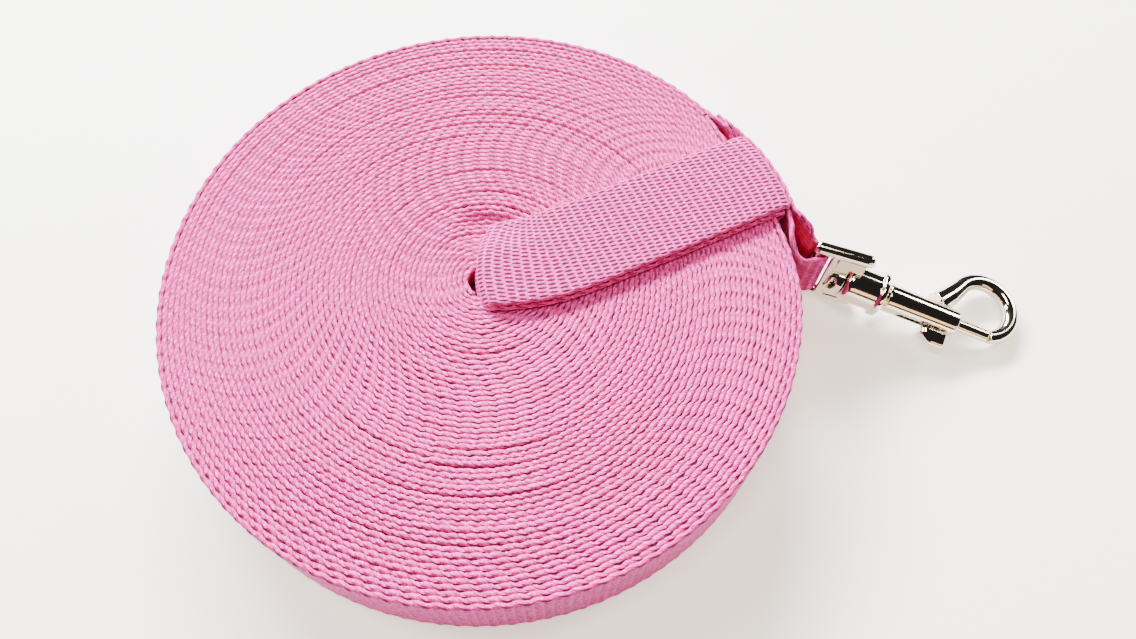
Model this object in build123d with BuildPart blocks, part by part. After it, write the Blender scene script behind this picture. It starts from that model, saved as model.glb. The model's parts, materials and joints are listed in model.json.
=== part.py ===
"""A long webbing training leash, wound flat on its edge, with a swivel bolt snap at its outer end.

The origin is the coil's centre on the table. +Z is up, and the coil's axis is Z. Lengths are in millimetres.
"""

import os
from math import cos, radians, sin

from build123d import *

os.makedirs("parts", exist_ok=True)

# Webbing
web_width = 25.0
web_thick = 1.3
coil_radius = 80.0
coil_hole_middle = (-2.2, -1.3)
coil_hole_size = (8.0, 3.2)  # along and across the hand loop's end
coil_hole_floor = 2.0  # the webbing's inner end closes the hole below this height
soft_gap = 0.1  # between one lay of webbing and the next

# Hand loop: two plies that come up at the coil's centre, cross its top and tuck down behind the outer turn
strap_angle = 26.0
strap_offset = -1.9  # the strap's middle runs this far beside the coil's centre
strap_start = 1.0
tuck_distance = 76.8  # from the coil's centre to the tucked tab's inner face
tuck_bottom = 3.0
pocket_slack = 2.2
bend_radius = 0.8

# Snap end, in plan: the outer turn leaves the coil, passes outside the tucked hand loop, goes round
# the eye's end bar and comes back to be stitched to itself
outer_route = [(60.8, 55.6), (69.9, 45.4), (76.5, 33.6), (81.2, 22.6)]
inner_route = [(59.9, 54.4), (68.8, 44.4), (75.2, 33.0), (79.0, 21.5), (80.2, 12.6)]
outer_bends = [9.0, 9.0, 9.0, 5.0]
inner_bends = [9.0, 9.0, 9.0, 2.6, 2.6]
lead_in = 3.4  # the straight stretch of each ply next to the end bar
bight_gap = 0.3
bight_height = 16.0  # the webbing's edges curl in to fit the eye
squeeze_start, squeeze_end = -9.0, -2.6  # stations along the eye between which it narrows
edge_slack = 0.6
tack_height, tack_width, tack_proud, tack_gap = 19.0, 1.8, 0.3, 0.02
tack_places = (0.12, 0.3, 0.48)  # shares of the outer ply's length

# Swivel eye: it stands level on its lower arm, and the webbing's bight goes round its end bar
eye_yaw = -18.0
eye_origin = (86.7, 12.4)
eye_centre_height = 12.3
arm_radius = 1.75
arm_spacing = 20.3  # between the two arms' centrelines
arm_length = 12.6
end_bar_radius = 1.35
end_bar_station = 0.2
bridge_start = 3.5
bridge_width = 2.2
bridge_thick = 3.8
bridge_corner = 0.8
web_plate_thick = 2.4

# Swivel hook: its axis drops towards the ring, which lies on the table
hook_origin = (106.9, 5.8, 8.5)  # the middle of the spring tube's rear end
hook_pitch = 10.0
barrel_start, barrel_end, barrel_radius = -12.4, -2.9, 5.3
flange_end, flange_radius = -1.3, 6.3
neck_radius = 3.0
tube_end, tube_radius, tube_end_radius = 20.4, 4.0, 3.7
stud_radius, stud_end = 1.4, -9.0
stud_head_radius, stud_head_thick = 1.8, 0.8
boss_radius, boss_length, boss_taper, boss_gap = 4.2, 4.0, 12, 0.3
window_width, window_height = 1.4, 5.2
window_station, window_rise = -15.3, 0.1  # along the hook's axis, and above it
running_gap = 0.05

# Hook ring
ring_centre = (27.4, 7.7)
ring_radius = 8.25
bolt_gap = 0.3
# sections of the ring from the tube to the tip: middle, heading in degrees, radius
ring_root = [((14.4, 3.8), 47, 3.3), ((17.7, 7.9), 52, 2.95)]
ring_arc = [
    (
        (
            ring_centre[0] + ring_radius * cos(radians(angle)),
            ring_centre[1] + ring_radius * sin(radians(angle)),
        ),
        angle - 90,
        size,
    )
    for angle, size in (
        (152, 2.5), (125, 2.35), (95, 2.25), (60, 2.2), (25, 2.2), (-10, 2.15), (-45, 2.0), (-78, 1.8)
    )
]

# Spring bolt
bolt_radius = 1.75
bolt_end = 29.9
bolt_travel = 9.7
carriage_start, carriage_end, carriage_radius = 12.8, 17.8, 2.14
bore_start, bore_end, bore_radius = -8.0, 18.2, 2.2
knob_angle = -15.0  # below the horizontal, on the side away from the ring
knob_start, knob_end, knob_width = 11.3, 19.2, 4.8
knob_inner, knob_outer, knob_crown = 4.35, 8.5, 16.2  # the crown is its highest station
knob_edge = 1.8
stem_length, stem_width, stem_middle = 2.6, 1.8, 15.6
slot_margin, slot_side_gap = 0.4, 0.3
spring_radius, spring_wire, spring_turns = 1.65, 0.28, 13


left_middle = (Align.MIN, Align.CENTER)


def finish(node, name):
    """Labels a finished piece and writes it to its file."""
    node.part.label = name
    export_step(node.part, f"parts/{name}.step")


# ---------------------------------------------------------------- frames

eye_along = Vector(cos(radians(eye_yaw)), sin(radians(eye_yaw)), 0)
eye_side = Plane(
    origin=(*eye_origin, eye_centre_height),
    x_dir=eye_along,
    z_dir=eye_along.cross(Vector(0, 0, 1)),
)

hook_along = Vector(
    cos(radians(hook_pitch)) * cos(radians(eye_yaw)),
    cos(radians(hook_pitch)) * sin(radians(eye_yaw)),
    -sin(radians(hook_pitch)),
)
hook_side = Plane(origin=hook_origin, x_dir=hook_along, z_dir=eye_side.z_dir)
hook_flat = Plane(origin=hook_origin, x_dir=hook_along, z_dir=hook_side.y_dir)
hook_axis = Axis(hook_origin, hook_along)


def across_eye(station, height):
    """The plane across the eye's arms at a station along them."""
    return Plane(origin=eye_side.from_local_coords((station, height, 0)), z_dir=eye_along)


def across_hook(station):
    """The plane across the hook's axis at a station along it."""
    return Plane(
        origin=hook_flat.from_local_coords((station, 0, 0)), x_dir=hook_flat.y_dir, z_dir=hook_along
    )


knob_out = -hook_flat.y_dir * cos(radians(knob_angle)) + hook_flat.z_dir * sin(radians(knob_angle))


def knob_plane(distance):
    """The plane across the thumb knob's direction at a distance from the hook's axis."""
    return Plane(origin=Vector(*hook_origin) + knob_out * distance, x_dir=hook_along, z_dir=knob_out)


knob_side = Plane(origin=hook_origin, x_dir=hook_along, z_dir=hook_along.cross(knob_out))


def on_underside(edge):
    """True if an edge of the thumb knob's lug lies on its flat underside."""
    return abs((edge @ 0.5 - Vector(*hook_origin)).dot(knob_out) - knob_inner) < 0.01


# ---------------------------------------------------------------- webbing

strap_along = Vector(cos(radians(strap_angle)), sin(radians(strap_angle)), 0)
strap_across = Vector(-strap_along.Y, strap_along.X, 0)
strap_side = Plane(
    origin=strap_across * strap_offset, x_dir=strap_along, z_dir=strap_along.cross(Vector(0, 0, 1))
)
pocket_depth = tuck_distance - soft_gap

with BuildPart() as webbing_coil:
    with BuildSketch():
        Circle(coil_radius)
    extrude(amount=web_width)
    with BuildSketch(Plane.XY.offset(coil_hole_floor)):
        with Locations(coil_hole_middle):
            SlotOverall(*coil_hole_size, rotation=strap_angle + 90)
    extrude(amount=web_width, mode=Mode.SUBTRACT)
    # the flat that the hand loop's tucked end lies against
    with BuildSketch(Plane(origin=strap_side.origin + strap_along * pocket_depth, x_dir=strap_along)):
        Rectangle(coil_radius, web_width + pocket_slack, align=left_middle)
    extrude(amount=web_width, mode=Mode.SUBTRACT)
    top_lines = webbing_coil.edges().filter_by(GeomType.LINE).group_by(Axis.Z)[-1]
    fillet(top_lines.sort_by(SortBy.LENGTH)[-1], bend_radius + soft_gap)
finish(webbing_coil, "webbing_coil")


def hand_loop_ply(layer):
    """One ply of the hand loop, an L seen from the side. Layer 0 lies on the coil."""
    low = web_width + layer * web_thick
    near = tuck_distance + layer * web_thick
    inner = bend_radius + layer * web_thick
    with BuildPart() as ply:
        with BuildSketch(strap_side):
            with BuildLine():
                FilletPolyline((strap_start, low), (near, low), (near, tuck_bottom), radius=inner)
                Line((near, tuck_bottom), (near + web_thick, tuck_bottom))
                FilletPolyline(
                    (near + web_thick, tuck_bottom),
                    (near + web_thick, low + web_thick),
                    (strap_start, low + web_thick),
                    radius=inner + web_thick,
                )
                Line((strap_start, low + web_thick), (strap_start, low))
            make_face()
        extrude(amount=web_width / 2, both=True)
    return ply


finish(hand_loop_ply(0), "hand_loop_lower_ply")
finish(hand_loop_ply(1), "hand_loop_upper_ply")

bight_middle = end_bar_radius + bight_gap + web_thick / 2
bar_middle = eye_side.from_local_coords((end_bar_station, 0, 0))
bar_x, bar_y = bar_middle.X, bar_middle.Y


def beside_bar(station, side):
    """A plan point beside the end bar. Side is 1 on the far ply's middle and -1 on the near one's."""
    point = eye_side.from_local_coords((end_bar_station + station, 0, -side * bight_middle))
    return point.X, point.Y


def cut_to_eye(ply):
    """Narrows a ply's ends so that it passes between the eye's arms."""
    with BuildSketch(eye_side) as waste:
        for side in (1, -1):
            with BuildLine():
                Polyline(
                    (squeeze_start, side * (web_width / 2 + edge_slack)),
                    (squeeze_end, side * bight_height / 2),
                    (arm_length, side * bight_height / 2),
                    (arm_length, side * web_width),
                    (squeeze_start, side * web_width),
                    close=True,
                )
            make_face()
    extrude(waste.sketch, amount=3 * bight_middle, both=True, mode=Mode.SUBTRACT)


with BuildPart() as snap_end_outer_ply:
    with BuildSketch():
        with BuildLine() as outer_line:
            FilletPolyline(
                *outer_route,
                beside_bar(-lead_in, 1),
                beside_bar(0, 1),
                radius=outer_bends,
            )
        trace(line_width=web_thick)
    extrude(amount=web_width)
    cut_to_eye(snap_end_outer_ply)
finish(snap_end_outer_ply, "snap_end_outer_ply")

with BuildPart() as snap_end_inner_ply:
    with BuildSketch():
        with BuildLine() as inner_line:
            FilletPolyline(
                *inner_route,
                beside_bar(-lead_in, -1),
                beside_bar(0, -1),
                radius=inner_bends,
            )
            bight_tip = eye_side.from_local_coords((end_bar_station + bight_middle, 0, 0))
            ThreePointArc(beside_bar(0, -1), (bight_tip.X, bight_tip.Y), beside_bar(0, 1))
        trace(line_width=web_thick)
    extrude(amount=web_width)
    cut_to_eye(snap_end_inner_ply)
finish(snap_end_inner_ply, "snap_end_inner_ply")

# bar tacks through the lap, seen on the outer ply's outer face
for number, share in enumerate(tack_places, 1):
    middle = outer_line.line @ share
    tangent = outer_line.line % share
    outward = Vector(tangent.Y, -tangent.X, 0)
    if outward.dot(Vector(middle.X, middle.Y, 0)) < 0:
        outward = -outward
    face = Plane(
        origin=middle + outward * (web_thick / 2 + tack_gap) + Vector(0, 0, web_width / 2),
        x_dir=tangent,
        z_dir=outward,
    )
    with BuildPart() as bar_tack:
        with BuildSketch(face):
            RectangleRounded(tack_width, tack_height, tack_width / 3)
        extrude(amount=tack_proud)
        fillet(bar_tack.faces().sort_by(Axis(face.origin, outward))[-1].edges(), tack_proud / 2)
    finish(bar_tack, f"bar_tack_{number}")

# ---------------------------------------------------------------- swivel eye

with BuildPart() as swivel_eye:
    # two level arms with rounded ends
    for side in (1, -1):
        height = side * arm_spacing / 2
        with BuildSketch(across_eye(end_bar_station, height)):
            Circle(arm_radius)
        extrude(amount=arm_length)
        for station in (end_bar_station, end_bar_station + arm_length):
            with Locations(eye_side.from_local_coords((station, height, 0))):
                Sphere(arm_radius)
    # the end bar that the webbing goes round
    with BuildSketch(Plane((bar_x, bar_y, eye_centre_height - arm_spacing / 2))):
        Circle(end_bar_radius)
    extrude(amount=arm_spacing)
    # the bridge that closes the webbing's slot
    bridge_foot = eye_side.from_local_coords((bridge_start + bridge_width / 2, -arm_spacing / 2, 0))
    with BuildSketch(Plane(origin=bridge_foot, x_dir=eye_along)):
        RectangleRounded(bridge_width, bridge_thick, bridge_corner)
    extrude(amount=arm_spacing)
    # the web plate between the arms
    plate_start = bridge_start + bridge_width / 2
    with BuildSketch(eye_side):
        with Locations((plate_start, 0)):
            Rectangle(end_bar_station + arm_length - plate_start, arm_spacing, align=left_middle)
    extrude(amount=web_plate_thick / 2, both=True)
    # the boss that carries the swivel's stud
    boss_end = across_hook(barrel_start - boss_gap)
    with BuildSketch(boss_end):
        Circle(boss_radius)
    extrude(amount=-boss_length, taper=boss_taper)
    # room for the barrel, which turns beside the plate
    with BuildSketch(boss_end):
        Circle(barrel_radius + boss_gap)
    extrude(amount=2 * barrel_radius, mode=Mode.SUBTRACT)
    # the window that the stud's head turns in, and the stud's bore
    with BuildSketch(hook_side):
        with Locations((window_station, window_rise)):
            SlotOverall(window_height, window_width, rotation=90)
    extrude(amount=bridge_thick, both=True, mode=Mode.SUBTRACT)
    with BuildSketch(boss_end):
        Circle(stud_radius + running_gap)
    extrude(amount=window_station - barrel_start + boss_gap, mode=Mode.SUBTRACT)
finish(swivel_eye, "swivel_eye")

# ---------------------------------------------------------------- swivel hook

with BuildPart() as hook_body:
    # barrel, flange, neck and spring tube
    with BuildSketch(hook_side):
        with BuildLine():
            FilletPolyline(
                (barrel_start, 0),
                (barrel_start, barrel_radius),
                (barrel_end, barrel_radius),
                (barrel_end, flange_radius),
                (flange_end, flange_radius),
                (flange_end, neck_radius),
                (0, neck_radius),
                (0, tube_radius),
                (tube_end, tube_end_radius),
                (tube_end, 0),
                radius=[1.8, 0.3, 0.45, 0.45, 0.4, 0.4, 0.45, 0.6],
            )
            Line((tube_end, 0), (barrel_start, 0))
        make_face()
    revolve(axis=hook_axis)
    # the ring: round sections that taper from the root on the tube to the tip
    for sections, straight in ((ring_arc, False), (ring_root + ring_arc[:1], True)):
        for (station, offset), turn, size in sections:
            heading = hook_flat.x_dir * cos(radians(turn)) + hook_flat.y_dir * sin(radians(turn))
            centre = hook_flat.from_local_coords((station, offset, 0))
            with BuildSketch(Plane(origin=centre, x_dir=hook_flat.z_dir, z_dir=heading)):
                Circle(size)
        loft(ruled=straight)
    # the tip is cut square where the bolt closes against it
    with BuildSketch(hook_flat):
        with Locations((bolt_end + bolt_gap, -ring_radius)):
            Rectangle(ring_radius, 1.3 * ring_radius, align=(Align.MAX, Align.MIN))
    extrude(amount=2 * tube_radius, both=True, mode=Mode.SUBTRACT)
    # the stud's seat, the spring's bore and the bolt's guide
    for start, end, radius in (
        (barrel_start, stud_end, stud_radius),
        (bore_start, bore_end, bore_radius),
        (bore_end, tube_end, bolt_radius + running_gap),
    ):
        with BuildSketch(across_hook(start)):
            Circle(radius)
        extrude(amount=end - start, mode=Mode.SUBTRACT)
    # the slot that the thumb knob's stem slides along
    slot_start = stem_middle - stem_length / 2 - bolt_travel - slot_margin
    slot_end = stem_middle + stem_length / 2 + slot_margin
    with BuildSketch(knob_plane(0)):
        with Locations(((slot_start + slot_end) / 2, 0)):
            SlotOverall(slot_end - slot_start, stem_width + 2 * slot_side_gap)
    extrude(amount=tube_radius + 1, mode=Mode.SUBTRACT)
finish(hook_body, "hook_body")

with BuildPart() as swivel_stud:
    with BuildSketch(across_hook(window_station)):
        Circle(stud_radius)
    extrude(amount=stud_end - window_station)
    with BuildSketch(across_hook(window_station - stud_head_thick / 2)):
        Circle(stud_head_radius)
    extrude(amount=stud_head_thick)
finish(swivel_stud, "swivel_stud")

# ---------------------------------------------------------------- spring bolt

with BuildPart() as bolt_pin:
    with BuildSketch(hook_side):
        with BuildLine():
            FilletPolyline(
                (carriage_start, 0),
                (carriage_start, carriage_radius),
                (carriage_end, carriage_radius),
                (carriage_end, bolt_radius),
                (bolt_end, bolt_radius),
                (bolt_end, 0),
                radius=[0.2, 0.2, 0.2, 0.6],
            )
            Line((bolt_end, 0), (carriage_start, 0))
        make_face()
    revolve(axis=hook_axis)
    # the hole that the knob's stem is pressed into
    with BuildSketch(knob_plane(0)):
        with Locations((stem_middle, 0)):
            SlotOverall(stem_length, stem_width)
    extrude(amount=carriage_radius + 1, mode=Mode.SUBTRACT)
finish(bolt_pin, "bolt_pin")

with BuildPart() as thumb_knob:
    with BuildSketch(knob_plane(0)):
        with Locations((stem_middle, 0)):
            SlotOverall(stem_length, stem_width)
    extrude(amount=knob_inner + 1)
    # the thumb's lug: domed at the rear and flatter in front
    with BuildSketch(knob_side) as lug:
        with BuildLine():
            FilletPolyline(
                (knob_start, knob_inner),
                (knob_start + 0.2, (knob_inner + knob_outer) / 2),
                (knob_crown - 1.8, knob_outer),
                (knob_end, knob_outer),
                (knob_end, knob_inner),
                radius=[1.4, 3.0, 1.5],
            )
            Line((knob_end, knob_inner), (knob_start, knob_inner))
        make_face()
    extrude(lug.sketch, amount=knob_width / 2, both=True)
    sides = thumb_knob.faces().filter_by(lambda f: abs(f.normal_at().dot(knob_side.z_dir)) > 0.99)
    sides = sides.sort_by(SortBy.AREA)[-2:]
    fillet([e for f in sides for e in f.edges() if not on_underside(e)], knob_edge)
finish(thumb_knob, "thumb_knob")

with BuildPart() as bolt_spring:
    spring_foot = across_hook(bore_start + spring_wire)
    spring_length = carriage_start - bore_start - 2 * spring_wire
    coil_line = Helix(
        spring_length / spring_turns, spring_length, spring_radius,
        center=spring_foot.origin, direction=hook_along,
    )
    with BuildSketch(Plane(origin=coil_line @ 0, z_dir=coil_line % 0)):
        Circle(spring_wire)
    sweep(path=coil_line)
finish(bolt_spring, "bolt_spring")
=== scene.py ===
"""Looks of a webbing training leash: the wound webbing, its hand loop, its snap end and its snap.

Lengths are in millimetres until they become vertices. The floor, the lamps and the bumps of the
materials are in metres.
"""

import json
import math

import bpy
import numpy as np
from mathutils import Matrix, Vector


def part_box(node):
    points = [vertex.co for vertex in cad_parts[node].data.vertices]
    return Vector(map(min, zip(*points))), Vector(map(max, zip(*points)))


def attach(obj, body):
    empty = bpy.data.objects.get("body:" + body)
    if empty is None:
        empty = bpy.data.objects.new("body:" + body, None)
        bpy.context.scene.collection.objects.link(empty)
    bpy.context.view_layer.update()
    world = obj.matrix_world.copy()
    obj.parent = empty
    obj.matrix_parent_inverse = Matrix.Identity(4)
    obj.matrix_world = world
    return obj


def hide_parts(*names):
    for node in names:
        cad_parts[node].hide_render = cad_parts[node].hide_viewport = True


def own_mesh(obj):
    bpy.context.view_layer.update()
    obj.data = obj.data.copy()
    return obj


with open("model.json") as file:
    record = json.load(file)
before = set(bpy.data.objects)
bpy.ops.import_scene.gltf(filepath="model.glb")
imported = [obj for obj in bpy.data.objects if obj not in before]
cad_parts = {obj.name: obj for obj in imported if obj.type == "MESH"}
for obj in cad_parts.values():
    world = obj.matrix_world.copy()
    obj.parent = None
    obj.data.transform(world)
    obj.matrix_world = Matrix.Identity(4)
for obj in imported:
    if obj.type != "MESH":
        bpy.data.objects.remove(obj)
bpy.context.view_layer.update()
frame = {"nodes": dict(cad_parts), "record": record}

MM = 0.001
WIDTH, THICK, PITCH = 25.0, 1.3, 1.35  # the webbing, and how far apart its turns lie
COIL_START, COIL_RADIUS = 4.0, 81.0
# the weave's spacing across and along the webbing; its edge has a loop for each column
ROW, COLUMN = 1.13, 2.15
DASH_SLANT = 0.1
STRAP_ANGLE = math.radians(26.0)
EYE_YAW = math.radians(-18.0)
EYE_MIDDLE = np.array([86.7, 12.4])
BAR_STATION, BAR_SIDE = 0.2, 2.3  # the end bar, and how far each ply's middle passes beside it
EYE_HEIGHT, EYE_OPENING = 12.3, 16.3
END_ANGLE = math.radians(42.4)  # where the webbing's outer end leaves the coil
rng = np.random.default_rng(7)


# ---------------------------------------------------------------- mesh helpers


def smooth(t):
    """0 below 0, 1 above 1, and an even S between."""
    t = np.clip(t, 0.0, 1.0)
    return t * t * (3 - 2 * t)


def spline(points, step):
    """Points about a step apart on a centripetal Catmull-Rom curve through the given ones."""
    p = np.array(points, float)
    p = np.vstack([2 * p[0] - p[1], p, 2 * p[-1] - p[-2]])
    out = []
    for a, b, c, d in zip(p[:-3], p[1:-2], p[2:-1], p[3:]):
        t1 = np.linalg.norm(b - a) ** 0.5
        t2 = t1 + np.linalg.norm(c - b) ** 0.5
        t3 = t2 + np.linalg.norm(d - c) ** 0.5
        count = max(2, int(np.linalg.norm(c - b) / step * 4))
        t = np.linspace(t1, t2, count, endpoint=False)[:, None]
        ab = a + (b - a) * t / t1
        bc = b + (c - b) * (t - t1) / (t2 - t1)
        cd = c + (d - c) * (t - t2) / (t3 - t2)
        abc = ab + (bc - ab) * t / t2
        bcd = bc + (cd - bc) * (t - t1) / (t3 - t1)
        out.append(abc + (bcd - abc) * (t - t1) / (t2 - t1))
    return even(np.vstack([*out, p[-2:-1]]), step)


def even(line, step):
    """The line's points, about a step apart along it."""
    s = lengths(line)
    at = np.linspace(0, s[-1], max(2, round(s[-1] / step) + 1))
    return np.stack([np.interp(at, s, line[:, k]) for k in range(line.shape[1])], 1)


def lengths(line):
    """The distance along a line at each of its points."""
    return np.concatenate([[0], np.cumsum(np.linalg.norm(np.diff(line, axis=0), axis=1))])


def headings(line):
    """Unit tangents of a line."""
    t = np.gradient(line, axis=0)
    return t / np.linalg.norm(t, axis=1, keepdims=True)


def add(name, data):
    """An object of this name with this data, in the scene."""
    obj = bpy.data.objects.new(name, data)
    bpy.context.scene.collection.objects.link(obj)
    return obj


def smooth_shaded(mesh):
    """Shades all of a mesh's faces smooth."""
    mesh.polygons.foreach_set("use_smooth", np.ones(len(mesh.polygons), bool))


def tube_mesh(name, rings, attributes, material, body):
    """A closed mesh through rings of points (stations, points round, 3), with a cap on each end.

    A ring needs an even number of points, because each cap is a row of quads across it."""
    n, m = rings.shape[:2]
    i, j = np.meshgrid(np.arange(n - 1), np.arange(m), indexing="ij")
    k = (j + 1) % m
    quads = np.stack([i * m + j, (i + 1) * m + j, (i + 1) * m + k, i * m + k], -1).reshape(-1, 4)
    half = m // 2
    caps = []
    for end, base in ((0, 0), (1, (n - 1) * m)):
        for a in range(half - 1):
            quad = [base + a, base + a + 1, base + m - 2 - a, base + m - 1 - a]
            caps.append(quad[::-1] if end else quad)
    faces = np.vstack([quads, np.array(caps)])
    mesh = bpy.data.meshes.new(name)
    mesh.vertices.add(n * m)
    mesh.vertices.foreach_set("co", (rings.reshape(-1) * MM).astype(np.float32))
    mesh.loops.add(faces.size)
    mesh.loops.foreach_set("vertex_index", faces.reshape(-1).astype(np.int32))
    mesh.polygons.add(len(faces))
    mesh.polygons.foreach_set("loop_start", np.arange(0, faces.size, 4, dtype=np.int32))
    smooth_shaded(mesh)
    mesh.update(calc_edges=True)
    for key, values in attributes.items():
        kind, field = ("FLOAT", "value") if values.ndim == 2 else ("FLOAT_VECTOR", "vector")
        layer = mesh.attributes.new(key, kind, "POINT")
        layer.data.foreach_set(field, values.reshape(-1).astype(np.float32))
    mesh.validate()
    obj = add(name, mesh)
    mesh.materials.append(material)
    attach(obj, body)
    return obj


def points_of(obj):
    """An object's points, in millimetres."""
    co = np.empty(len(obj.data.vertices) * 3)
    obj.data.vertices.foreach_get("co", co)
    return co.reshape(-1, 3) / MM


def move_points(obj, co):
    """Puts an object's points at new places, in millimetres."""
    obj.data.vertices.foreach_set("co", (co * MM).astype(np.float32).ravel())
    obj.data.update()


def dash(u, v):
    """1 in the weave's dashes and 0 between them, at a distance along and across the webbing."""
    half_length, half_width = 0.95, 0.3
    column = np.round(u / COLUMN)
    du = u - COLUMN * column
    shift = 0.5 * np.mod(column, 2)
    dv = v + DASH_SLANT * du - ROW * (np.round(v / ROW - shift) + shift)
    return smooth(1.25 - (np.abs(du) / half_length) ** 3 - (np.abs(dv) / half_width) ** 2)


def relief(u, v):
    """The weave's height above the webbing's mean face."""
    column = np.round(u / COLUMN)
    du = (u - COLUMN * column) / COLUMN
    shift = 0.5 * np.mod(column, 2)
    hump = np.cos(2 * np.pi * (v / ROW - shift)) * np.cos(np.pi * du)
    hump_height, dash_depth = 0.05, 0.09
    return -hump_height * hump - dash_depth * dash(u, v)


def strip(
    name, middle, across, normal, s, body, rows, half=None, bend=None, fine=True,
    painted_shade_faces=(0, 0), near=0.0, slim=0.28, wavy=0.07,
):
    """A length of webbing: a thin closed band with woven faces and looped edges.

    middle, across and normal are its centreline, width direction and face normal at each station,
    and s the distance along it. rows is the number of points across each face. half is its half
    width at each station, and bend how far its edges curl along the normal. fine puts the weave in
    the mesh. The pair after fine is how far its face on the normal's side, and its other face, are
    painted crimson as painted shade, and near how far painted shade lines darken its first edge.
    slim is how much thinner its edges are, and wavy how far they swing from side to side."""
    n = len(middle)
    half = np.full(n, WIDTH / 2) if half is None else half
    bend = np.zeros(n) if bend is None else bend
    v = np.linspace(-1, 1, rows)
    cap, turn = np.ones(3), np.array([0.55, 0.0, -0.55])
    ring_v = np.concatenate([v, cap, v[::-1], -cap])
    side = np.concatenate([np.ones(rows), turn, -np.ones(rows), -turn])
    from_middle, edge = np.abs(ring_v), np.sign(ring_v)[None]
    cloth_v = ring_v * WIDTH / 2
    u = s[:, None] + 0 * ring_v[None]
    face = side[None] + 0 * u
    lift = relief(u, cloth_v[None]) if fine else np.zeros_like(u)
    rim = smooth((from_middle - 0.93) / 0.07)[None]
    wave = np.sin(2 * np.pi * u / COLUMN) + 0.5 * np.sin(np.pi * u / COLUMN)
    out = half[:, None] * ring_v[None] + edge * rim * (0.07 * wave - 0.08)
    out = out + edge * rim * (0.2 - 0.3 * side[None] ** 2)
    depth = face * (THICK / 2 * (1 - slim * rim) + lift * (1 - rim))
    depth = depth + rim * wavy * np.cos(np.pi * u / COLUMN)
    depth = depth + bend[:, None] * smooth((from_middle - 0.45) / 0.55)[None]
    rings = (
        middle[:, None, :]
        + across[:, None, :] * out[..., None]
        + normal[:, None, :] * depth[..., None]
    )
    rings[..., 2] = np.maximum(rings[..., 2], 0.0)
    # keeps the painted shade tick marks off an edge that is seen from the side
    toned = np.where((np.abs(face) < 1) & (near > 0), 0.2 * face, face)
    weave = np.stack([u, cloth_v[None] + 0 * u, toned], -1)
    # painted shade: a little on the rounded edges, on the faces asked for, and lines on the first
    # edge
    painted_edge_lines = (ring_v < -0.999) & (np.abs(side) == 1)
    shade = rim * (0.12 - 0.08 * wave) + near * painted_edge_lines[None]
    inside = (1 - smooth((from_middle - 0.86) / 0.1))[None]
    for sign, amount in zip((1, -1), painted_shade_faces):
        amount = amount[:, None] if isinstance(amount, np.ndarray) else amount
        shade = shade + amount * (side[None] == sign) * inside
    attributes = {"weave": weave, "shade": np.clip(shade, 0, 1)}
    return tube_mesh(name, rings, attributes, WEBBING, body)


# ---------------------------------------------------------------- materials


class Nodes:
    """A material's node tree, with short calls for the nodes used here."""

    def __init__(self, name):
        self.material = bpy.data.materials.new(name)
        self.material.use_nodes = True
        self.tree = self.material.node_tree
        self.shader = self.tree.nodes["Principled BSDF"]

    def put(self, socket, value):
        if isinstance(value, bpy.types.NodeSocket):
            self.tree.links.new(value, socket)
        else:
            socket.default_value = value

    def math(self, kind, a, b=0.0, c=0.0):
        node = self.tree.nodes.new("ShaderNodeMath")
        node.operation = kind
        for socket, value in zip(node.inputs, (a, b, c)):
            self.put(socket, value)
        return node.outputs[0]

    def plus(self, a, b):
        return self.math("ADD", a, b)

    def minus(self, a, b):
        return self.math("SUBTRACT", a, b)

    def times(self, a, b):
        return self.math("MULTIPLY", a, b)

    def over(self, a, b):
        return self.math("DIVIDE", a, b)

    def scaled(self, a, factor, offset):
        return self.math("MULTIPLY_ADD", a, factor, offset)

    def absolute(self, a):
        return self.math("ABSOLUTE", a)

    def attribute(self, name):
        node = self.tree.nodes.new("ShaderNodeAttribute")
        node.attribute_name = name
        return node

    def split(self, vector):
        node = self.tree.nodes.new("ShaderNodeSeparateXYZ")
        self.put(node.inputs[0], vector)
        return node.outputs

    def join(self, x, y, z):
        node = self.tree.nodes.new("ShaderNodeCombineXYZ")
        for socket, value in zip(node.inputs, (x, y, z)):
            self.put(socket, value)
        return node.outputs[0]

    def noise(self, vector, scale, detail, roughness=0.5):
        node = self.tree.nodes.new("ShaderNodeTexNoise")
        self.put(node.inputs["Vector"], vector)
        self.put(node.inputs["Scale"], scale)
        self.put(node.inputs["Detail"], detail)
        self.put(node.inputs["Roughness"], roughness)
        return node.outputs[0]

    def ramp(self, value, low, high, to_low=0.0, to_high=1.0):
        node = self.tree.nodes.new("ShaderNodeMapRange")
        node.interpolation_type = "SMOOTHSTEP"
        for socket, item in zip(node.inputs, (value, low, high, to_low, to_high)):
            self.put(socket, item)
        return node.outputs[0]

    def mix(self, factor, a, b):
        node = self.tree.nodes.new("ShaderNodeMix")
        node.data_type = "RGBA"
        self.put(node.inputs[0], factor)
        self.put(node.inputs[6], a)
        self.put(node.inputs[7], b)
        return node.outputs[2]

    def bump(self, height, distance, strength, normal=None):
        node = self.tree.nodes.new("ShaderNodeBump")
        self.put(node.inputs["Height"], height)
        self.put(node.inputs["Distance"], distance)
        self.put(node.inputs["Strength"], strength)
        if normal is not None:
            self.put(node.inputs["Normal"], normal)
        return node.outputs[0]

    def position(self):
        node = self.tree.nodes.new("ShaderNodeTexCoord")
        return node.outputs["Object"]


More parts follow.
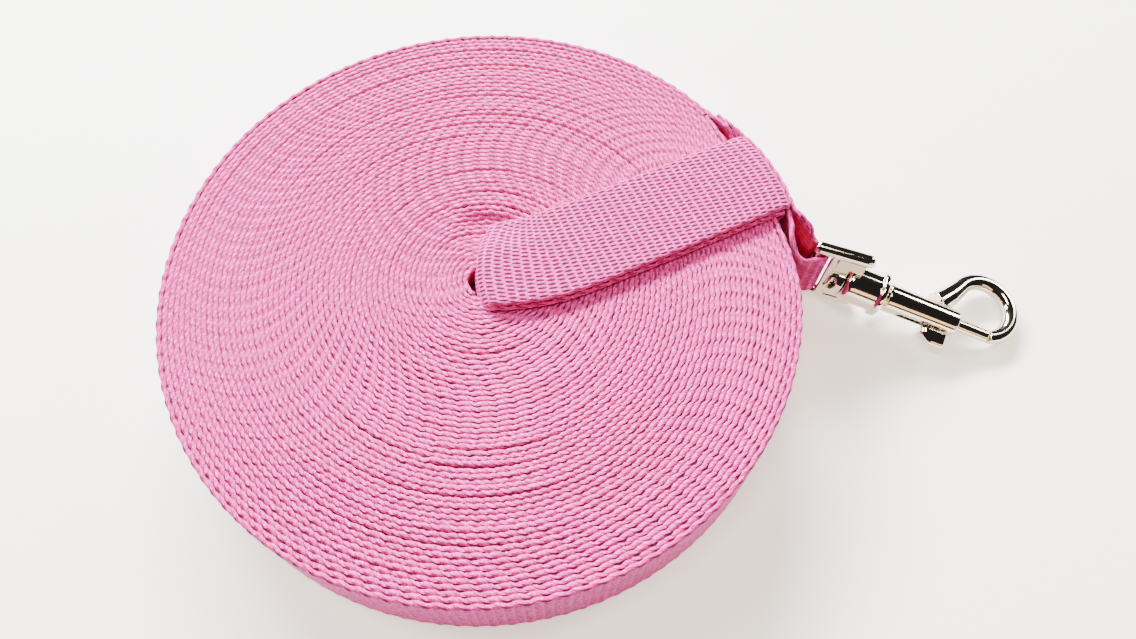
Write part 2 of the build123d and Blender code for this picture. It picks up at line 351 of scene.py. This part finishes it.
def webbing_material():
    """Pink webbing. The weave attribute is the place along and across it, and the face: 1 and -1
    on the faces, and between them on the edges. The shade attribute is painted shade: how far the
    colour is darkened to crimson in the gaps between turns and plies and along shaded edges."""
    k = Nodes("pink_webbing")
    u, v, face = k.split(k.attribute("weave").outputs["Vector"])
    shade = k.attribute("shade").outputs["Fac"]
    # the faces' dashes
    half_length, half_width = 0.96, 0.34
    column = k.math("ROUND", k.over(u, COLUMN))
    du = k.minus(u, k.times(column, COLUMN))
    shift = k.times(k.math("FLOORED_MODULO", column, 2.0), 0.5)
    row = k.plus(k.math("ROUND", k.minus(k.over(v, ROW), shift)), shift)
    dv = k.minus(k.scaled(du, DASH_SLANT, v), k.times(row, ROW))
    wobble = k.noise(k.join(u, v, face), 0.9, 3.0)
    reach = k.plus(
        k.math("POWER", k.absolute(k.over(du, half_length)), 3.0),
        k.math("POWER", k.absolute(k.over(dv, half_width)), 2.0),
    )
    dashes = k.ramp(k.plus(reach, k.scaled(wobble, 1.6, -0.8)), 1.15, 0.25)
    on_face = k.ramp(k.absolute(face), 0.8, 1.0)
    dashes = k.times(dashes, on_face)
    # the edge's loops: a slanting line between each two, and beside every other one a dark tick
    # mark that is painted shade in the gap to the next turn
    edge = k.minus(1.0, on_face)
    uneven = k.noise(k.join(k.times(u, 0.3), v, 0.0), 1.0, 2.0)
    place = k.plus(k.over(u, 2 * COLUMN), k.scaled(face, 0.3, 0.2))
    place = k.absolute(k.minus(k.math("FRACT", place), 0.5))
    place = k.plus(place, k.scaled(uneven, 0.5, -0.25))
    painted_gap_ticks = k.times(k.ramp(place, 0.27, 0.15), k.ramp(face, 0.12, 0.26))
    painted_gap_ticks = k.times(painted_gap_ticks, edge)
    place = k.math("FRACT", k.plus(k.over(u, COLUMN), k.times(face, 0.8)))
    place = k.absolute(k.minus(place, 0.5))
    seams = k.times(k.ramp(k.scaled(uneven, 0.2, place), 0.44, 0.58), edge)
    # the yarn: its fibres, and its lay on the edges
    fibres = k.noise(k.join(k.times(u, 1.1), k.times(v, 9.0), face), 1.0, 3.0, 0.7)
    lay = k.plus(k.times(u, 1.5), k.times(face, 0.8))
    yarn = k.scaled(k.math("SINE", k.times(lay, 2 * math.pi)), 0.5, 0.5)
    yarn = k.times(yarn, edge)
    patches = k.noise(k.position(), 55.0, 3.0)
    specks = k.noise(k.position(), 1300.0, 2.0, 0.8)
    # each colour is laid over those before it
    colour = (0.58, 0.019, 0.26, 1)
    for amount, laid_over in (
        (k.ramp(fibres, 0.3, 0.75), (0.77, 0.035, 0.39, 1)),
        (k.ramp(patches, 0.35, 0.7, 0.0, 0.3), (0.8, 0.036, 0.36, 1)),
        (k.ramp(specks, 0.53, 0.66, 0.0, 0.75), (1.0, 0.17, 0.7, 1)),
        (k.ramp(specks, 0.47, 0.33, 0.0, 0.75), (0.25, 0.012, 0.12, 1)),
        (k.times(yarn, 0.2), (0.95, 0.12, 0.55, 1)),
        (k.times(seams, 0.65), (0.36, 0.012, 0.13, 1)),
        (k.times(dashes, 0.95), (0.085, 0.003, 0.026, 1)),
        # painted shade: crimson where the shade attribute marks gaps and shaded edges
        (k.times(shade, 0.92), (0.54, 0.002, 0.06, 1)),
        # painted shade: dark tick marks in the gaps between turns
        (k.times(painted_gap_ticks, 0.85), (0.1, 0.003, 0.028, 1)),
    ):
        colour = k.mix(amount, colour, laid_over)
    k.put(k.shader.inputs["Base Color"], colour)
    k.put(k.shader.inputs["Roughness"], k.ramp(fibres, 0.2, 0.9, 0.62, 0.85))
    k.shader.inputs["Sheen Weight"].default_value = 0.1
    k.shader.inputs["Sheen Roughness"].default_value = 0.4
    k.shader.inputs["Specular IOR Level"].default_value = 0.18
    height = k.minus(k.times(fibres, 0.5), k.plus(dashes, k.plus(painted_gap_ticks, seams)))
    height = k.plus(height, k.scaled(specks, 0.5, k.times(yarn, 0.5)))
    k.put(k.shader.inputs["Normal"], k.bump(height, 0.00013, 0.7))
    return k.material


def thread_material():
    """The bar tacks' thread, twisted along its length."""
    twist_length = 0.45
    k = Nodes("stitching_thread")
    u, _, _ = k.split(k.attribute("weave").outputs["Vector"])
    twist = k.math("SINE", k.times(u, 2 * math.pi / twist_length))
    wear = k.noise(k.position(), 700.0, 2.0)
    tone = k.mix(k.ramp(wear, 0.3, 0.7), (0.85, 0.12, 0.38, 1), (0.98, 0.2, 0.5, 1))
    k.put(k.shader.inputs["Base Color"], tone)
    k.put(k.shader.inputs["Roughness"], k.ramp(wear, 0.2, 0.8, 0.45, 0.65))
    k.put(k.shader.inputs["Normal"], k.bump(twist, 0.00004, 0.8))
    return k.material


def metal_material(name, colour, rough, smudge):
    """Plated or drawn metal. smudge is how much rougher its dull patches are."""
    k = Nodes(name)
    broad = k.noise(k.position(), 90.0, 3.0)
    fine = k.noise(k.position(), 1500.0, 2.0, 0.6)
    dulled = tuple(0.9 * c for c in colour[:3]) + (1,)
    k.put(k.shader.inputs["Base Color"], k.mix(k.ramp(broad, 0.3, 0.7, 0.0, 0.5), colour, dulled))
    k.shader.inputs["Metallic"].default_value = 1.0
    k.put(k.shader.inputs["Roughness"], k.ramp(broad, 0.35, 0.75, rough, rough + smudge))
    k.put(k.shader.inputs["Normal"], k.bump(fine, 0.00001, 0.35, k.bump(broad, 0.00025, 0.3)))
    return k.material


WEBBING = webbing_material()
THREAD = thread_material()
PLATE = metal_material("bright_plate", (0.78, 0.7, 0.58, 1), 0.06, 0.08)
SPRING = metal_material("spring_wire", (0.6, 0.6, 0.6, 1), 0.25, 0.1)


# ---------------------------------------------------------------- the wound webbing


def dent(angle):
    """The coil is pressed in where the hand loop is tucked in. angle is in radians."""
    turn = np.degrees(np.mod(angle + math.pi, 2 * math.pi) - math.pi)
    return 1 - 0.024 * smooth((turn - 1) / 12) * smooth((43 - turn) / 9)


def pressed(x, y):
    """How far the hand loop's rising end presses the lays under its far corner down."""
    in_y = smooth((y - 6) / 9) * (1 - smooth((y - 17) / 5))
    in_x = smooth((x + 9) / 7) * (1 - smooth((x - 3) / 13))
    return 1.5 * in_x * in_y


# loose lays: turns back from the webbing's outer end, middle and spread in degrees, and gap
LOOSE_LAYS = (
    (3.7, 95, 45, 0.34), (7.9, 100, 50, 0.40), (13.6, 90, 40, 0.30), (16.1, 82, 45, 0.40),
    (20.2, 75, 42, 0.62), (23.1, 80, 40, 0.46), (34.5, 85, 45, 0.34), (39.2, 80, 42, 0.5),
    (42.2, 95, 50, 0.42), (48.6, 90, 50, 0.36), (10.1, 262, 36, 0.24), (12.6, 250, 30, 0.26),
    (18.4, 265, 34, 0.28), (23.6, 258, 36, 0.36), (26.6, 270, 32, 0.28), (43.8, 268, 40, 0.36),
)


def opening(turn_back, angle):
    """How far the turns inside a loose lay are drawn in, at a count of turns back from the end."""
    drawn = np.zeros_like(angle)
    turn = np.degrees(np.mod(angle, 2 * math.pi))
    for at, centre, spread, gap in LOOSE_LAYS:
        away = np.abs(np.mod(turn - centre + 180, 360) - 180)
        behind = turn_back - at
        fading = np.where(behind > 0, np.exp(-behind / 2.6), 0)
        drawn += 1.25 * gap * smooth(1.3 - away / spread) * fading
    return drawn


def wound():
    """The coil but its outermost turn: one band, wound clockwise going out."""
    step, fine_steps = 0.54, 200000
    inner, outer = COIL_START, COIL_RADIUS - THICK / 2 - PITCH
    turns = (outer - inner) / PITCH
    share = np.linspace(0, 1, fine_steps)
    radius = inner + (outer - inner) * share
    angle = END_ANGLE + 2 * np.pi * turns * (1 - share)
    line = np.stack([radius * np.cos(angle), radius * np.sin(angle)], 1)
    s = lengths(line)
    count = int(s[-1] / step)
    at = np.linspace(0, s[-1], count)
    radius, angle = np.interp(at, s, radius), np.interp(at, s, angle)
    back = (outer - radius) / PITCH + 1
    lay = radius * dent(angle) - opening(back, angle)
    # small unevenness of each lay: how far it stands out, and how high
    lays, sectors = 70, 24
    knots = rng.normal(0, 1, (2, lays, sectors))
    row = np.clip(back.astype(int), 0, lays - 1)
    column = np.mod(angle / (2 * np.pi), 1) * sectors
    low = column.astype(int) % sectors
    part = smooth(column - np.floor(column))
    loose, rise = knots[:, row, low] * (1 - part) + knots[:, row, (low + 1) % sectors] * part
    # the section, from the outer foot round over the top: across the thickness, height, and share
    # of the edge's waves
    section = np.array([
        (0.62, 0.12, 0.0), (0.66, 24.0, 0.2), (0.655, 24.82, 0.9), (0.0, 25.0, 1.0),
        (-0.655, 24.82, 0.9), (-0.66, 24.0, 0.2), (-0.62, 0.12, 0.0), (0.0, 0.0, 0.0),
    ])
    side, tall, free = section.T[:, None, :]
    loops = np.sin(2 * np.pi * at / COLUMN)[:, None]
    pairs = np.sin(np.pi * at / COLUMN + 0.5)[:, None]
    crest = np.cos(2 * np.pi * at / COLUMN - 0.9)[:, None]
    valley = np.cos(np.pi * at / COLUMN - 0.4)[:, None]
    across = side + free * (0.09 * loops + 0.16 * pairs + 0.04 * loose[:, None])
    across = across + 0.06 * np.sign(side) * free * crest
    height = tall - free * (0.055 * (1 - crest) + 0.07 * (1 - valley) - 0.07 * rise[:, None])
    middle = np.stack([lay * np.cos(angle), lay * np.sin(angle)], 1)
    # the innermost turns lie a little off the middle
    heart = np.exp(-((radius - inner) / 7.0) ** 2)
    middle[:, 0] -= 0.35 * heart
    middle[:, 1] -= 0.5 * heart
    height = height - pressed(middle[:, 0], middle[:, 1])[:, None] * smooth((tall - 5) / 15)
    rings = np.empty((count, len(section), 3))
    rings[..., 0] = middle[:, :1] + np.cos(angle)[:, None] * across
    rings[..., 1] = middle[:, 1:] + np.sin(angle)[:, None] * across
    rings[..., 2] = height
    face = np.sign(side) * np.where(free > 0.5, 0.55, 1.0) + 0 * height
    weave = np.stack([at[:, None] + 0 * height, tall - WIDTH / 2 + 0 * height, face], -1)
    # painted shade: crimson where the section lies in the gap between turns, more in wave troughs
    between = np.array([0.8, 0.8, 0.08, 0.0, 0.08, 0.8, 0.8, 0.4])[None]
    shade = between + free * (0.06 - 0.06 * crest)
    attributes = {"weave": weave, "shade": np.clip(shade, 0, 1)}
    obj = tube_mesh("wound_webbing", rings, attributes, WEBBING, "webbing")
    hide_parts("webbing_coil")


def eye_point(station, side):
    """A plan point beside the eye's end bar. Side is in millimetres, positive on the far side."""
    along = np.array([math.cos(EYE_YAW), math.sin(EYE_YAW)])
    far = np.array([-along[1], along[0]])
    return EYE_MIDDLE + along * (BAR_STATION + station) + far * side


# plan of the webbing's middle from the coil to the eye, and of the ply stitched back, from the
# eye to its cut end
OUT_TO_EYE = [
    (56.2, 56.8), (59.7, 53.5), (63.3, 50.4), (67.7, 45.1), (70.7, 40.6), (73.4, 35.6),
    (75.7, 30.4), (77.6, 25.4), (78.9, 20.4), (79.5, 17.0), (80.5, 13.8),
]
BACK_FROM_EYE = [
    (83.0, 17.9), (80.9, 21.3), (79.6, 25.2), (78.5, 28.9), (76.7, 33.4), (74.5, 37.8),
    (71.6, 42.5), (68.3, 46.5), (64.9, 50.3), (61.9, 53.2),
]


def snap_end():
    """The outermost turn, the run to the eye, the bight round its bar and the ply stitched back."""
    back = np.radians(np.linspace(359.5, 8, 240))
    press = np.where(back > math.pi, dent(END_ANGLE + back), 1 - 0.004 * smooth(1 - back / 0.5))
    radius = (COIL_RADIUS - THICK / 2 - PITCH * back / (2 * math.pi)) * press
    turn = np.stack([radius * np.cos(END_ANGLE + back), radius * np.sin(END_ANGLE + back)], 1)
    round_bar = np.radians([0, 30, 60, 90, 120, 150, 180])
    bight = [eye_point(BAR_SIDE * math.sin(a), -BAR_SIDE * math.cos(a)) for a in round_bar]
    run = [
        *turn[:-1:6], turn[-1], *OUT_TO_EYE, eye_point(-3.6, -BAR_SIDE - 0.1),
        *bight, eye_point(-3.3, BAR_SIDE + 0.3), *BACK_FROM_EYE,
    ]
    line = spline(run, 0.42)
    s = lengths(line)
    tip = s[np.argmin(np.linalg.norm(line - eye_point(BAR_SIDE, 0), axis=1))]
    away = np.abs(s - tip)
    # its edges curl in to pass through the eye
    squeeze = 1 - smooth((away - 4.6) / 8.5)
    half = WIDTH / 2 - squeeze * (WIDTH - EYE_OPENING) / 2
    bend = -1.9 * smooth((away - 3.8) / 3.2) * (1 - smooth((away - 7.5) / 9.0))
    t = headings(line)
    flat = np.zeros(len(line))
    height = WIDTH / 2 - squeeze * (WIDTH / 2 - EYE_HEIGHT)
    middle = np.stack([line[:, 0], line[:, 1], height], 1)
    normal = np.stack([-t[:, 1], t[:, 0], flat], 1)
    across = np.stack([flat, flat, flat + 1], 1)
    # painted shade: the faces between the plies, and between them and the coil, are painted
    # crimson, for the shade there and the light that reaches them through pink webbing; a little is
    # painted too on one face of the ply just before the eye
    crimson = 0.95
    turned = np.degrees(np.arctan2(line[:, 1], line[:, 0]))
    leaving = (s > tip - 95) & (turned < 60)
    between = crimson * smooth((turned + 2) / 6) * smooth((42.5 - turned) / 3)
    between = between * leaving * smooth((away - 1) / 3)
    painted_shade_coil_side = crimson * smooth((60 - turned) / 8) * leaving * (s < tip) * smooth((turned - 7) / 3)
    painted_shade_coil_side = painted_shade_coil_side + 0.4 * (s > tip - 14) * (s < tip - 3)
    obj = strip(
        "snap_end_webbing", middle, across, normal, s, "webbing", 64, half, bend,
        painted_shade_faces=(between, painted_shade_coil_side), slim=0.06, wavy=0.14,
    )
    # the hand loop's bulging fold presses the edge beside it down
    co = points_of(obj)
    turned = np.degrees(np.arctan2(co[:, 1], co[:, 0]))
    from_centre = np.hypot(co[:, 0], co[:, 1])
    beside = smooth((turned - 15.5) / 4) * smooth((38 - turned) / 4)
    beside = beside * smooth((from_centre - 80.2) / 0.4)
    beside = beside * (1 - smooth((from_centre - 82.4) / 0.3))
    co[:, 2] -= 2.5 * beside * smooth((co[:, 2] - 12) / 12)
    move_points(obj, co)
    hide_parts("snap_end_outer_ply", "snap_end_inner_ply")
    return line[s > tip + 6]


# plan of the hand loop's middle, from the coil's centre outwards
LOOP_PLAN = [
    (-1.0, 4.2), (7.0, 4.5), (15.0, 6.0), (23.3, 9.3), (36.8, 15.7), (69.9, 31.9), (78.0, 35.85),
]
# side view of each ply's fold: distance from the coil's centre along the strap, and height
FOLDS = (
    [
        (76.0, 25.68), (78.2, 25.68), (79.2, 25.62), (80.0, 25.34), (80.4, 24.84), (80.25, 24.15),
        (79.55, 23.2), (78.95, 22.1), (78.75, 20.8), (78.75, 12.0), (78.75, 3.5),
    ],
    [
        (76.0, 26.98), (78.6, 26.98), (79.9, 26.92), (81.05, 26.55), (81.8, 25.85), (82.0, 25.05),
        (81.6, 24.1), (80.8, 22.9), (80.25, 21.6), (80.05, 20.2), (80.05, 12.0), (80.05, 3.5),
    ],
)


def hand_loop(name, layer, node, rows, step):
    """One ply of the hand loop, 0 the lower and 1 the upper. It rises out of the coil's centre,
    crosses the top and is tucked behind the outer turn."""
    plan = spline(LOOP_PLAN, 0.3)
    p = lengths(plan)
    rise, level = 3.0, WIDTH + THICK * (layer + 0.5) + 0.03
    side = np.array([-math.sin(STRAP_ANGLE), math.cos(STRAP_ANGLE)])
    along = np.array([math.cos(STRAP_ANGLE), math.sin(STRAP_ANGLE)])
    # of a distance along the plan line, the part that isn't along the strap
    behind = p[-1] - plan[-1] @ along
    first = rise + THICK * layer
    up = [
        (first * (1 - math.cos(a)), level - first * (1 - math.sin(a)))
        for a in np.radians(np.linspace(0, 90, 9))
    ]
    down = [(a + behind, z) for a, z in spline(FOLDS[layer], 0.15)]
    shape = even(np.array([(0.0, level - first - 3.0), *up, *down]), step)
    s = lengths(shape)
    t = headings(shape)
    n = len(shape)
    end = shape[:, 0] - p[-1]
    beyond = np.maximum(end, 0)[:, None] * along[None]
    mid = np.stack([np.interp(shape[:, 0], p, plan[:, k]) for k in (0, 1)], 1) + beyond
    head = headings(plan)
    head = np.stack([np.interp(shape[:, 0], p, head[:, k]) for k in (0, 1)], 1)
    head /= np.linalg.norm(head, axis=1, keepdims=True)
    across = np.stack([-head[:, 1], head[:, 0], np.zeros(n)], 1)
    normal = np.stack([-head[:, 0] * t[:, 1], -head[:, 1] * t[:, 1], t[:, 0]], 1)
    middle = np.stack([mid[:, 0], mid[:, 1], shape[:, 1]], 1)
    if layer == 0:
        middle -= 0.75 * across  # the lower ply shows along the near edge
    # painted shade: crimson lines along each ply's first edge, the near one
    obj = strip(name, middle, across, normal, s, "webbing", rows, fine=layer == 1, near=0.4)
    co = points_of(obj)
    a, b = co[:, :2] @ along, co[:, :2] @ side + 1.9
    # the fold follows the coil's round edge, and its corners roll in
    far = smooth((a - 52) / 26)
    corner = 0.004 * np.maximum(np.abs(b) - 8, 0) ** 2 * smooth((co[:, 2] - 20) / 4)
    shift = -far * (0.0085 * b**2 + corner)
    co[:, :2] += along[None] * shift[:, None]
    sink = 0.012 * np.maximum(np.abs(b) - 7, 0) ** 2
    co[:, 2] -= far * sink * smooth((co[:, 2] - 23) / 2) * smooth((a - 70) / 8)
    # the rising end bulges, and sinks between the lays at its far corner
    near = 1 - smooth((co[:, 0] - 2) / 13)
    co[:, 0] += near * (-0.9 + 0.0165 * (co[:, 1] - 3.3) ** 2)
    co[:, 2] -= pressed(co[:, 0], co[:, 1]) * smooth((co[:, 2] - 15) / 8)
    move_points(obj, co)
    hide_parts(node)


wound()
lap = snap_end()
hand_loop("hand_loop_top", 1, "hand_loop_upper_ply", 100, 0.36)
hand_loop("hand_loop_under", 0, "hand_loop_lower_ply", 26, 0.5)


# ---------------------------------------------------------------- the snap


def cast(name, node, body, voxel, rounds):
    """A casting with softened edges and blended joins, made from its CAD solid."""
    source = add(name + "_source", frame["nodes"][node].data.copy())
    remesh = source.modifiers.new("remesh", "REMESH")
    remesh.mode, remesh.voxel_size, remesh.use_smooth_shade = "VOXEL", voxel * MM, True
    soften = source.modifiers.new("soften", "SMOOTH")
    soften.factor, soften.iterations = 0.5, rounds
    graph = bpy.context.evaluated_depsgraph_get()
    made = bpy.data.meshes.new_from_object(source.evaluated_get(graph))
    bpy.data.objects.remove(source)
    made.materials.clear()
    made.materials.append(PLATE)
    smooth_shaded(made)
    obj = add(name, made)
    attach(obj, body)
    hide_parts(node)


cast("eye_casting", "swivel_eye", "eye", 0.14, 6)
cast("hook_casting", "hook_body", "hook", 0.17, 7)
cast("knob_casting", "thumb_knob", "bolt", 0.12, 14)
for node in ("bolt_pin", "swivel_stud"):
    obj = frame["nodes"][node]
    obj.data.materials.clear()
    obj.data.materials.append(PLATE)
    smooth_shaded(obj.data)


def spring():
    """The bolt's spring, made from its CAD solid."""
    joints = frame["record"]["behaviour"]["joints"]
    slide = next(j for j in joints if j["name"] == "bolt_slide")
    axis = np.array(slide["axis"])
    mesh = frame["nodes"]["bolt_spring"].data.copy()
    mesh.materials.clear()
    mesh.materials.append(SPRING)
    smooth_shaded(mesh)
    obj = add("closing_spring", mesh)
    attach(obj, "hook")
    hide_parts("bolt_spring")
    reach = points_of(obj) @ axis * MM
    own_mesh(obj)


spring()


# ---------------------------------------------------------------- bar tacks


def tack(number, node):
    """Zigzag thread of a bar tack on the outer ply's face, beside its CAD solid."""
    low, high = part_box(node)
    cad = (np.array(low) + np.array(high)) / 2 / MM
    at = np.argmin(np.linalg.norm(lap - cad[:2], axis=1))
    along = headings(lap)[at]
    outward = np.array([along[1], -along[0], 0.0])
    if outward[:2] @ lap[at] < 0:
        outward = -outward
    along = np.array([along[0], along[1], 0.0])
    middle = np.array([lap[at][0], lap[at][1], WIDTH / 2]) + outward * (THICK / 2 + 0.1)
    reach, stitches, tall, thread_radius = 0.75, 34, 18.6, 0.19
    steps = np.arange(stitches * 8 + 1) / 8
    swing = np.sin(np.pi * steps)
    points = (
        middle[None]
        + along[None] * (reach * swing)[:, None]
        + np.array([0, 0, 1.0])[None] * ((steps / stitches - 0.5) * tall)[:, None]
        + outward[None] * (-0.12 + 0.12 * (1 - swing**2))[:, None]
    )
    t = headings(points)
    side = np.cross(t, outward[None])
    side /= np.linalg.norm(side, axis=1, keepdims=True)
    up = np.cross(side, t)
    turns = np.radians(np.arange(6) * 60)
    rings = points[:, None, :] + thread_radius * (
        side[:, None, :] * np.cos(turns)[None, :, None]
        + up[:, None, :] * np.sin(turns)[None, :, None]
    )
    u = lengths(points)[:, None] + 0 * turns[None]
    weave = np.stack([u, 0 * u, 0 * u], -1)
    attributes = {"weave": weave, "shade": 0.05 + 0 * u}
    obj = tube_mesh(f"bar_tack_thread_{number}", rings, attributes, THREAD, "webbing")
    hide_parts(node)


for number in (1, 2, 3):
    tack(number, f"bar_tack_{number}")


# ---------------------------------------------------------------- floor, light and camera


def floor():
    """A pale floor that glows a little, as an overlit backdrop does."""
    reach = 6.0
    corners = [(-reach, -reach, 0), (reach, -reach, 0), (reach, reach, 0), (-reach, reach, 0)]
    mesh = bpy.data.meshes.new("floor")
    mesh.from_pydata(corners, [], [(0, 1, 2, 3)])
    obj = add("floor", mesh)
    k = Nodes("pale_floor")
    k.shader.inputs["Base Color"].default_value = (0.93, 0.92, 0.9, 1)
    k.shader.inputs["Roughness"].default_value = 0.6
    k.shader.inputs["Emission Color"].default_value = (1.0, 0.93, 0.84, 1)
    k.shader.inputs["Emission Strength"].default_value = 0.8
    mesh.materials.append(k.material)


def lamp(name, place, size, power, colour):
    """A rectangular lamp that faces the coil's centre."""
    data = bpy.data.lights.new(name, "AREA")
    data.shape, data.size, data.size_y = "RECTANGLE", size[0], size[1]
    data.energy, data.color = power, colour
    obj = add(name, data)
    obj.location = place
    obj.rotation_euler = (-Vector(place)).to_track_quat("-Z", "Y").to_euler()


def camera():
    """The camera. down is the angle it looks down by, and roll its turn about its line of sight."""
    data = bpy.data.cameras.new("camera")
    data.sensor_width, data.lens = 36.0, 28.61
    data.clip_start, data.clip_end = 0.01, 20.0
    obj = add("camera", data)
    down, roll = 1.11181, 0.017215
    place = Vector((21.446, -109.247, 223.781)) * MM
    look = Vector((0, math.cos(down), -math.sin(down)))
    right = Vector((1, 0, 0))
    up = right.cross(look)
    x = right * math.cos(roll) + up * math.sin(roll)
    y = up * math.cos(roll) - right * math.sin(roll)
    turned = Matrix((x, y, -look)).transposed().to_4x4()
    obj.matrix_world = Matrix.Translation(place) @ turned
    bpy.context.scene.camera = obj


floor()
lamp("back_window", (-0.3, 0.95, 0.62), (1.0, 0.2), 112, (0.98, 0.99, 1.0))
lamp("left_panel", (-1.0, 0.3, 0.75), (0.35, 0.8), 14, (0.98, 0.99, 1.0))
lamp("right_panel", (1.0, 0.5, 0.6), (0.25, 0.6), 9, (1.0, 0.98, 0.95))
lamp("overhead", (-0.1, -0.1, 1.4), (0.6, 0.3), 17, (1.0, 0.82, 0.6))
lamp("warm_fill", (0.4, -1.0, 0.4), (0.9, 0.3), 3, (1.0, 0.6, 0.3))
world = bpy.data.worlds.new("room")
world.use_nodes = True
backdrop = world.node_tree.nodes["Background"]
backdrop.inputs["Color"].default_value = (0.9, 0.92, 1.0, 1)
backdrop.inputs["Strength"].default_value = 0.025
bpy.context.scene.world = world
camera()
